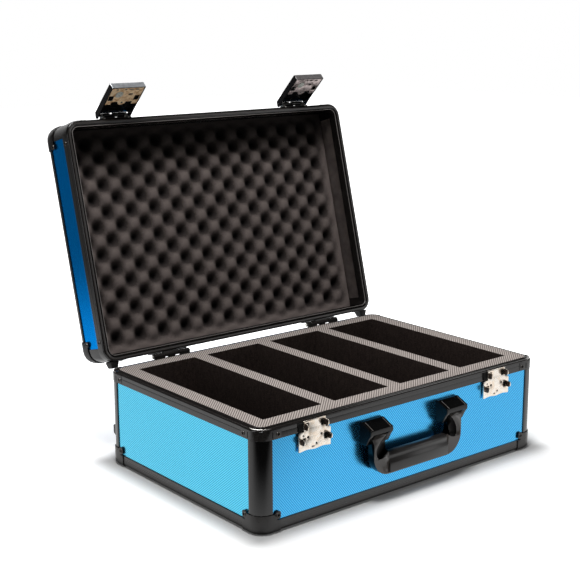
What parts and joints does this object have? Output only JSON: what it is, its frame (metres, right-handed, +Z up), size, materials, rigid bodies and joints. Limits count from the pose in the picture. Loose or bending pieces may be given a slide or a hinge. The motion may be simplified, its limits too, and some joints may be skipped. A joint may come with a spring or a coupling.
{
  "type": "graded card storage case",
  "caption": "Framed carrying case with slotted foam for graded card slabs, a hinged padded lid, key-lock latches and a drop handle.",
  "frame": {"origin": "middle of the base's footprint, on the plane that the bottom corner caps stand on", "axes": "+X along the case to the right seen from the front, +Y from the latch and handle side to the hinge side, +Z up"},
  "size_m": [0.4926, 0.503, 0.5088],
  "materials": {
    "blue_textured_skin": "embossed woven pattern, satin",
    "black_anodised_aluminium": "black anodised, satin",
    "black_steel_cap": "black lacquer, satin",
    "black_moulded_plastic": "moulded, glossy",
    "nickel_plated_steel": "warm nickel plate",
    "dark_latch_steel": "dark plated steel",
    "floor_board_skin": "plain, matt",
    "grey_foam": "closed-cell foam, ribbed skin on top",
    "egg_crate_foam": "open-cell foam",
    "black_rubber": "moulded, matt"
  },
  "bodies": {
    "case_base": {"base_floor_panel": "floor_board_skin", "base_front_panel": "blue_textured_skin", "base_right_panel": "blue_textured_skin", "base_rear_panel": "blue_textured_skin", "base_left_panel": "blue_textured_skin", "base_lower_rail_front": "black_anodised_aluminium", "base_lower_rail_right": "black_anodised_aluminium", "base_lower_rail_rear": "black_anodised_aluminium", "base_lower_rail_left": "black_anodised_aluminium", "base_post_front_left": "black_anodised_aluminium", "base_post_front_right": "black_anodised_aluminium", "base_post_rear_right": "black_anodised_aluminium", "base_post_rear_left": "black_anodised_aluminium", "base_corner_cap_front_left": "black_steel_cap", "base_corner_cap_front_right": "black_steel_cap", "base_corner_cap_rear_right": "black_steel_cap", "base_corner_cap_rear_left": "black_steel_cap", "base_rim": "black_anodised_aluminium", "slot_foam": "grey_foam", "foam_floor_pad": "grey_foam", "hinge_left_base_leaf": "black_steel_cap", "hinge_right_base_leaf": "black_steel_cap", "hinge_left_pin": "nickel_plated_steel", "hinge_right_pin": "nickel_plated_steel", "keeper_plate_left": "nickel_plated_steel", "keeper_plate_right": "nickel_plated_steel", "handle_bracket_left": "black_moulded_plastic", "handle_bracket_right": "black_moulded_plastic", "base_rear_foot_left": "black_rubber", "base_rear_foot_right": "black_rubber"},
    "lid": {"lid_top_panel": "blue_textured_skin", "lid_front_panel": "blue_textured_skin", "lid_right_panel": "blue_textured_skin", "lid_rear_panel": "blue_textured_skin", "lid_left_panel": "blue_textured_skin", "lid_edge_rail_front": "black_anodised_aluminium", "lid_edge_rail_right": "black_anodised_aluminium", "lid_edge_rail_rear": "black_anodised_aluminium", "lid_edge_rail_left": "black_anodised_aluminium", "lid_corner_cap_front_left": "black_steel_cap", "lid_corner_cap_front_right": "black_steel_cap", "lid_corner_cap_rear_right": "black_steel_cap", "lid_corner_cap_rear_left": "black_steel_cap", "lid_rim": "black_anodised_aluminium", "lid_foam": "egg_crate_foam", "hinge_left_lid_leaf": "black_steel_cap", "hinge_right_lid_leaf": "black_steel_cap", "lid_foot_left": "black_rubber", "lid_foot_right": "black_rubber", "latch_bracket_left": "nickel_plated_steel", "latch_bracket_right": "nickel_plated_steel"},
    "latch_left": {"latch_cover_left": "dark_latch_steel", "lock_plate_left": "nickel_plated_steel"},
    "latch_right": {"latch_cover_right": "dark_latch_steel", "lock_plate_right": "nickel_plated_steel"},
    "lock_left": {"lock_cylinder_left": "nickel_plated_steel"},
    "lock_right": {"lock_cylinder_right": "nickel_plated_steel"},
    "handle": {"handle_bail": "black_moulded_plastic", "handle_grip": "black_rubber"}
  },
  "joints": [
    {"name": "lid_hinge", "type": "hinge", "parent": "case_base", "child": "lid", "pos_m": [0, 0.17074, 0.13336], "axis": [-1, 0, 0], "range_deg": [-104.7, 0]},
    {"name": "latch_left_hinge", "type": "hinge", "parent": "lid", "child": "latch_left", "pos_m": [-0.1615, 0.26842, 0.46259], "axis": [-1, 0, 0], "range_deg": [-30, 0], "stiffness_Nm_per_rad": 0.06, "springref_deg": 34.38},
    {"name": "latch_right_hinge", "type": "hinge", "parent": "lid", "child": "latch_right", "pos_m": [0.1615, 0.26842, 0.46259], "axis": [-1, 0, 0], "range_deg": [-30, 0], "stiffness_Nm_per_rad": 0.06, "springref_deg": 34.38},
    {"name": "lock_left_turn", "type": "hinge", "parent": "latch_left", "child": "lock_left", "pos_m": [-0.1715, 0.23122, 0.49025], "axis": [0, 0.7034, 0.7108], "range_deg": [0, 90]},
    {"name": "lock_right_turn", "type": "hinge", "parent": "latch_right", "child": "lock_right", "pos_m": [0.1515, 0.23122, 0.49025], "axis": [0, 0.7034, 0.7108], "range_deg": [0, 90]},
    {"name": "handle_swing", "type": "hinge", "parent": "case_base", "child": "handle", "pos_m": [0, -0.1755, 0.0875], "axis": [-1, 0, 0], "range_deg": [0, 90]}
  ]
}
